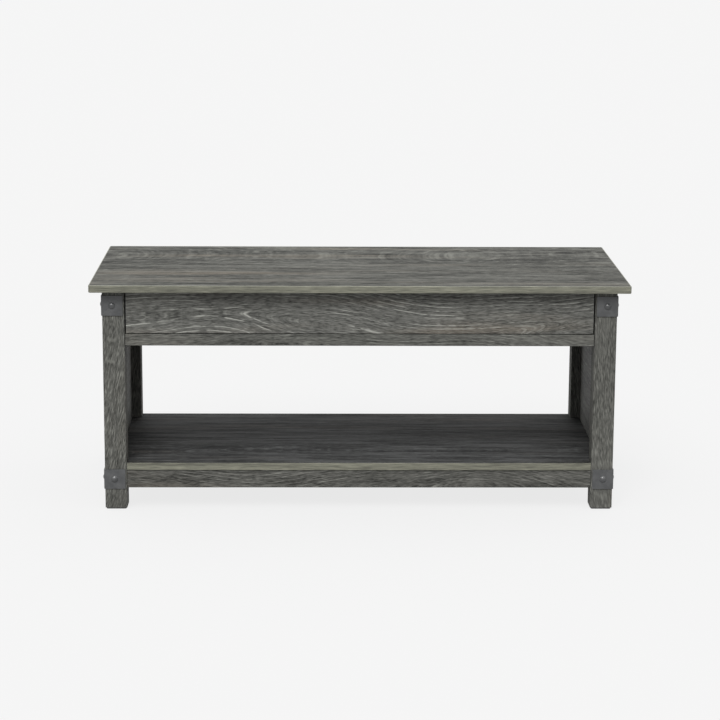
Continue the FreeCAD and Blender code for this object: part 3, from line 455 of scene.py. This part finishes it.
def dress_all():
    """Materials for every CAD node that stays visible, and the wire for the springs that are replaced."""
    for node, cut in BOARDS.items():
        dress(node, oak(node, *cut))
    band = edge_band()
    dress("top_edge_band", band)
    dress("shelf_edge_bands", band)
    strap = painted("strap_grey", (0.026, 0.027, 0.028), (0.042, 0.043, 0.044),
                    roughness=0.50, peel_scale=1500.0, peel_depth=0.00012)
    nail = painted("nail_grey", (0.022, 0.023, 0.024), (0.036, 0.037, 0.038),
                   roughness=0.31, peel_scale=1800.0, peel_depth=0.00006)
    black = painted("mechanism_black", (0.018, 0.018, 0.020), (0.036, 0.036, 0.038),
                    roughness=0.42, peel_scale=1600.0, peel_depth=0.0001)
    zinc = plated("zinc", (0.50, 0.50, 0.49), (0.66, 0.66, 0.64), roughness=0.34)
    plastic = moulded("foot_plastic", (0.030, 0.030, 0.030), (0.050, 0.050, 0.050),
                      roughness=0.55, scale=900.0)
    rubber = moulded("bumper_rubber", (0.015, 0.015, 0.015), (0.030, 0.030, 0.030),
                     roughness=0.75, scale=1200.0)
    wood = beech("beech")
    finishes = {"bracket_steel": strap, "nail_steel": nail, "mechanism_black": black, "zinc": zinc,
                "foot_plastic": plastic, "bumper_rubber": rubber, "beech": wood}
    for part in frame["record"]["subparts"]:
        if part["material_slot"] in finishes:
            dress(part["node"], finishes[part["material_slot"]])
    return plated("spring_wire", (0.36, 0.36, 0.36), (0.52, 0.52, 0.51), roughness=0.38)


# ---------------------------------------------------------------- lift springs
# SPRING_KEEP is the share of its length that the spring keeps when the top is raised.
WIRE_RADIUS = 0.0008
WIRE_SIDES = 8
STUD_CLEAR_RADIUS = 0.0033
HOOK_LENGTH = 0.010
HOOK_STEPS = 12
HOOK_MOUTH = math.radians(40)
COIL_TURNS = 24
COIL_STEPS = 16
COIL_END_SHARE = 0.25
SPRING_KEEP = 0.643


def tube_mesh(name, path, radius):
    """Round wire swept along a list of points, with closed ends."""
    verts = []
    faces = []
    normal = None
    for index, point in enumerate(path):
        before = path[max(index - 1, 0)]
        after = path[min(index + 1, len(path) - 1)]
        tangent = (after - before).normalized()
        if normal is None:
            normal = tangent.orthogonal().normalized()
        normal = (normal - tangent * normal.dot(tangent)).normalized()
        binormal = tangent.cross(normal)
        for side in range(WIRE_SIDES):
            angle = TAU * side / WIRE_SIDES
            verts.append(point + (normal * math.cos(angle) + binormal * math.sin(angle)) * radius)
    rows = len(path)
    for row in range(rows - 1):
        for side in range(WIRE_SIDES):
            a = row * WIRE_SIDES + side
            b = row * WIRE_SIDES + (side + 1) % WIRE_SIDES
            faces.append((a, b, b + WIRE_SIDES, a + WIRE_SIDES))
    faces.append(tuple(range(WIRE_SIDES - 1, -1, -1)))
    faces.append(tuple((rows - 1) * WIRE_SIDES + side for side in range(WIRE_SIDES)))
    mesh = bpy.data.meshes.new(name)
    mesh.from_pydata([tuple(v) for v in verts], [], faces)
    mesh.polygons.foreach_set("use_smooth", [True] * len(mesh.polygons))
    piece = bpy.data.objects.new(name, mesh)
    bpy.context.scene.collection.objects.link(piece)
    return piece


def joint_place(name):
    """Y and Z of a joint."""
    return next(j for j in frame["joints"] if j["name"] == name)["pos_m"][1:]


def hook_path(centre, along, up):
    """Eye round a stud, from its tip to where it meets the neck.

    It is drawn long, because the squash that shortens the lifted spring makes it round.
    """
    reach = STUD_CLEAR_RADIUS + WIRE_RADIUS
    points = []
    for step in range(HOOK_STEPS + 1):
        angle = HOOK_MOUTH + (TAU - 2 * HOOK_MOUTH) * step / HOOK_STEPS
        lengthwise = along * (reach / SPRING_KEEP * math.cos(angle))
        points.append(centre + lengthwise - up * (reach * math.sin(angle)))
    points.append(centre + along * (HOOK_LENGTH - 2 * WIRE_RADIUS))
    return points


def make_spring(side_name, wire):
    """Wound extension spring between its anchor stud and the stud on the rear arm."""
    node = "lift_spring_" + side_name
    low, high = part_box(node)
    out = Vector((1 if side_name == "right" else -1, 0, 0))
    mid_x = (low[0] + high[0]) / 2
    coil_radius = (high[0] - low[0]) / 2 - WIRE_RADIUS
    anchor = Vector((mid_x, *joint_place("spring_swing")))
    # The far stud sits on the rear arm's own line, so its height follows from the arm's slope.
    base = Vector((mid_x, *joint_place("arm_lift")))
    slope = (Vector((mid_x, *joint_place("top_level"))) - base).normalized()
    pin_y = high[1] - STUD_CLEAR_RADIUS - 2 * WIRE_RADIUS
    pin = base + slope * ((pin_y - base.y) / slope.y)
    along = (pin - anchor).normalized()
    up = out.cross(along)
    wound_length = (pin - anchor).length - 2 * HOOK_LENGTH
    path = hook_path(anchor, along, up)
    for step in range(COIL_TURNS * COIL_STEPS + 1):
        turn = step / COIL_STEPS
        travel = HOOK_LENGTH + wound_length * turn / COIL_TURNS
        radius = coil_radius * min(1.0, COIL_END_SHARE + turn, COIL_END_SHARE + COIL_TURNS - turn)
        angle = TAU * turn
        path.append(anchor + along * travel + (up * math.cos(angle) + out * math.sin(angle)) * radius)
    path.extend(reversed(hook_path(pin, -along, -up)))
    piece = tube_mesh("spring_wire_" + side_name, path, WIRE_RADIUS)
    piece.data.materials.append(wire)
    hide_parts(node)
    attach(piece, "lift_springs")
    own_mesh(piece)


# ---------------------------------------------------------------- studio
FLOOR_HALF = 60.0
FLOOR_ALBEDO = 0.04
FLOOR_GLOW = 0.796
# Strength of the surround up to RISE_START, and from RISE_END to overhead, where 1 is straight up.
HORIZON = 0.913
ZENITH = 2.9
RISE_START = 0.10
RISE_END = 0.95
KEY_STRENGTH = 3.1
KEY_SPREAD = math.radians(30)
KEY_DIRECTION = Vector((0.25, 1.0, -1.15))
CAMERA_LENS = 114.0
SENSOR_WIDTH = 36.0
CAMERA_PLACE = (-0.085, -4.787, 1.290)
CAMERA_DIP = 12.05
CAMERA_YAW = -1.07
CAMERA_ROLL = 0.31


def make_floor():
    """Backdrop that is pale almost only by its own glow, so that the table throws a faint shadow on it."""
    corners = [(-FLOOR_HALF, -FLOOR_HALF, 0), (FLOOR_HALF, -FLOOR_HALF, 0),
               (FLOOR_HALF, FLOOR_HALF, 0), (-FLOOR_HALF, FLOOR_HALF, 0)]
    mesh = bpy.data.meshes.new("studio_floor")
    mesh.from_pydata(corners, [], [(0, 1, 2, 3)])
    floor = bpy.data.objects.new("studio_floor", mesh)
    bpy.context.scene.collection.objects.link(floor)
    material, _, shader = new_material("studio_floor")
    shader.inputs["Base Color"].default_value = (FLOOR_ALBEDO, FLOOR_ALBEDO, FLOOR_ALBEDO, 1.0)
    shader.inputs["Roughness"].default_value = 1.0
    shader.inputs["Specular IOR Level"].default_value = 0.0
    shader.inputs["Emission Color"].default_value = (1.0, 1.0, 1.0, 1.0)
    shader.inputs["Emission Strength"].default_value = FLOOR_GLOW
    mesh.materials.append(material)


def make_lights():
    """Even white surround that grows brighter overhead, with one wide soft key from the front left."""
    world = bpy.data.worlds.new("studio")
    world.use_nodes = True
    tree = world.node_tree
    background = tree.nodes["Background"]
    background.inputs["Color"].default_value = (1.0, 1.0, 1.0, 1.0)
    direction = add(tree, "ShaderNodeTexCoord").outputs["Generated"]
    rise = add(tree, "ShaderNodeSeparateXYZ", {0: direction}).outputs["Z"]
    strength = fade(tree, rise, RISE_START, RISE_END, HORIZON, ZENITH)
    tree.links.new(strength, background.inputs["Strength"])
    bpy.context.scene.world = world
    data = bpy.data.lights.new("key", "SUN")
    data.energy = KEY_STRENGTH
    data.angle = KEY_SPREAD
    key = bpy.data.objects.new("key", data)
    key.rotation_euler = KEY_DIRECTION.to_track_quat("-Z", "Y").to_euler()
    bpy.context.scene.collection.objects.link(key)
    bpy.context.scene.view_settings.view_transform = "Standard"


def make_camera():
    """Camera in front of the table, a little to its left and above it. Its angles are in degrees."""
    data = bpy.data.cameras.new("camera")
    data.lens = CAMERA_LENS
    data.sensor_width = SENSOR_WIDTH
    camera = bpy.data.objects.new("camera", data)
    camera.location = CAMERA_PLACE
    aim = Euler((math.radians(90 - CAMERA_DIP), 0.0, math.radians(CAMERA_YAW))).to_matrix()
    camera.rotation_euler = (aim @ Matrix.Rotation(math.radians(CAMERA_ROLL), 3, "Z")).to_euler()
    bpy.context.scene.collection.objects.link(camera)
    bpy.context.scene.camera = camera


make_camera()
spring_wire = dress_all()
for side_name in ("left", "right"):
    make_spring(side_name, spring_wire)
make_floor()
make_lights()
